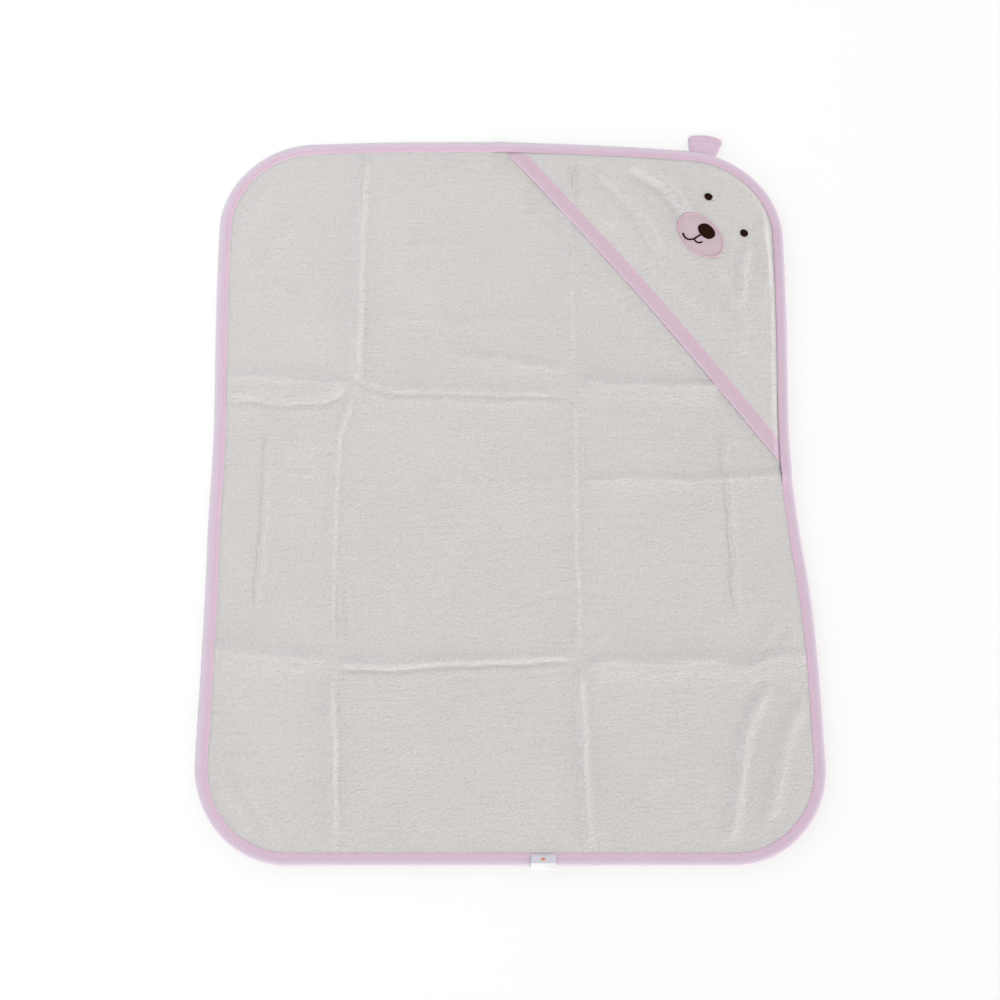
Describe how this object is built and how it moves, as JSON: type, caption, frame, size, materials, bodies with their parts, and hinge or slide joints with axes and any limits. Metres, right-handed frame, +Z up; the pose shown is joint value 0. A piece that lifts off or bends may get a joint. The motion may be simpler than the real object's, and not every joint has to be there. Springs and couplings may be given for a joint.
{
  "type": "hooded baby towel",
  "caption": "Terry baby towel with a bear-faced corner hood, a fabric ear, bound edges and a folded label, lying flat.",
  "frame": {"origin": "centre of the cut sheet on its underside", "axes": "+Y along the length towards the hooded end, +X to the right seen from above with the hood at the top right, +Z up out of the face side"},
  "size_m": [0.8153, 1.0208, 0.0125],
  "materials": {
    "terry": "off-white cotton terry with short loops",
    "knit_tape": "pale pink rib knit tape",
    "pink_thread": "pink sewing thread",
    "muzzle_knit": "smooth pink knit",
    "border_thread": "pink satin stitch",
    "brown_thread": "dark brown satin stitch",
    "label_satin": "white satin ribbon",
    "white_thread": "white thread",
    "orange_thread": "orange woven thread"
  },
  "bodies": {
    "towel": {"towel_panel": "terry", "edge_binding": "knit_tape", "edge_stitch_outer": "pink_thread", "edge_stitch_inner": "pink_thread", "edge_stitch_looper": "pink_thread", "label_stitch": "white_thread"},
    "hood": {"hood_panel": "terry", "hood_binding": "knit_tape", "hood_stitch_outer": "pink_thread", "hood_stitch_inner": "pink_thread", "hood_stitch_looper": "pink_thread", "muzzle_patch": "muzzle_knit", "muzzle_border": "border_thread", "nose_embroidery": "brown_thread", "mouth_embroidery": "brown_thread", "eye_left": "brown_thread", "eye_right": "brown_thread"},
    "ear": {"ear_back": "knit_tape", "ear_front": "knit_tape", "ear_stitch": "pink_thread"},
    "label": {"woven_label": "label_satin", "label_mark": "orange_thread"}
  },
  "joints": [
    {"name": "hood_lift", "type": "hinge", "parent": "towel", "child": "hood", "pos_m": [0.35692, 0.42826, 0.0033], "axis": [-0.5934, 0.8049, 0], "range_deg": [0, 12]},
    {"name": "ear_fold", "type": "hinge", "parent": "towel", "child": "ear", "pos_m": [0.28944, 0.48793, 0.003], "axis": [0.9885, -0.1515, 0], "range_deg": [0, 130]},
    {"name": "label_flip", "type": "hinge", "parent": "towel", "child": "label", "pos_m": [0.0483, -0.487, 0.0062], "axis": [-1, 0, 0], "range_deg": [0, 160]}
  ]
}
